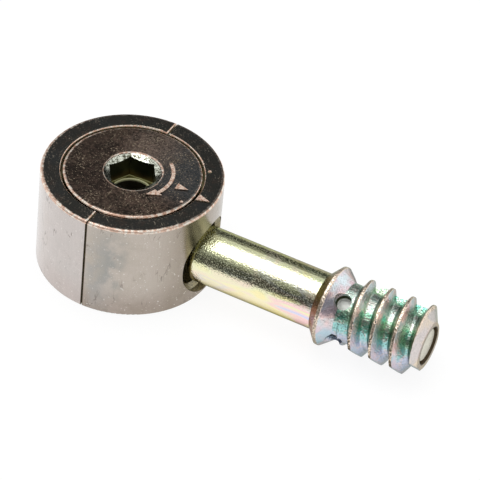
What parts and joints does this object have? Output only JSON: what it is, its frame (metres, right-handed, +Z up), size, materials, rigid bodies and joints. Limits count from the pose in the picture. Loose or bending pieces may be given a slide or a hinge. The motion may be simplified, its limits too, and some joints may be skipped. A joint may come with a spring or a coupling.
{
  "type": "cam lock connector",
  "caption": "Round split housing holding a key-turned cam, with a connecting bolt that ends in a coarse thread with a collar.",
  "frame": {"origin": "centre of the housing's flat base, on the cam's turning axis", "axes": "+Z up along the cam's axis, out of the key socket; +X along the bolt, out of the housing; +Y across the bolt"},
  "size_m": [0.0581, 0.025, 0.015],
  "materials": {
    "housing_cast": "bronzed zinc casting, near-black on top, satin grey-pink on the sides, copper at worn edges",
    "cam_cast": "dark bronzed zinc casting with worn copper edges",
    "pin_steel": "turned steel, yellow-passivated zinc plate",
    "sleeve_cast": "zinc casting with an iridescent passivated finish"
  },
  "bodies": {
    "housing": {"housing_front_half": "housing_cast", "housing_rear_half": "housing_cast"},
    "cam": {"cam": "cam_cast"},
    "bolt": {"bolt_pin": "pin_steel", "thread_sleeve": "sleeve_cast"}
  },
  "joints": [
    {"name": "cam_turn", "type": "hinge", "parent": "housing", "child": "cam", "pos_m": [0, 0, 0.0075], "axis": [0, 0, -1], "range_deg": [0, 180]},
    {"name": "bolt_draw", "type": "slide", "parent": "housing", "child": "bolt", "axis": [-1, 0, 0], "range_m": [0, 0.0018]}
  ],
  "couplings": [
    {"joint": "cam_turn", "follows": "bolt_draw", "rad_per_m": 1745.3}
  ]
}
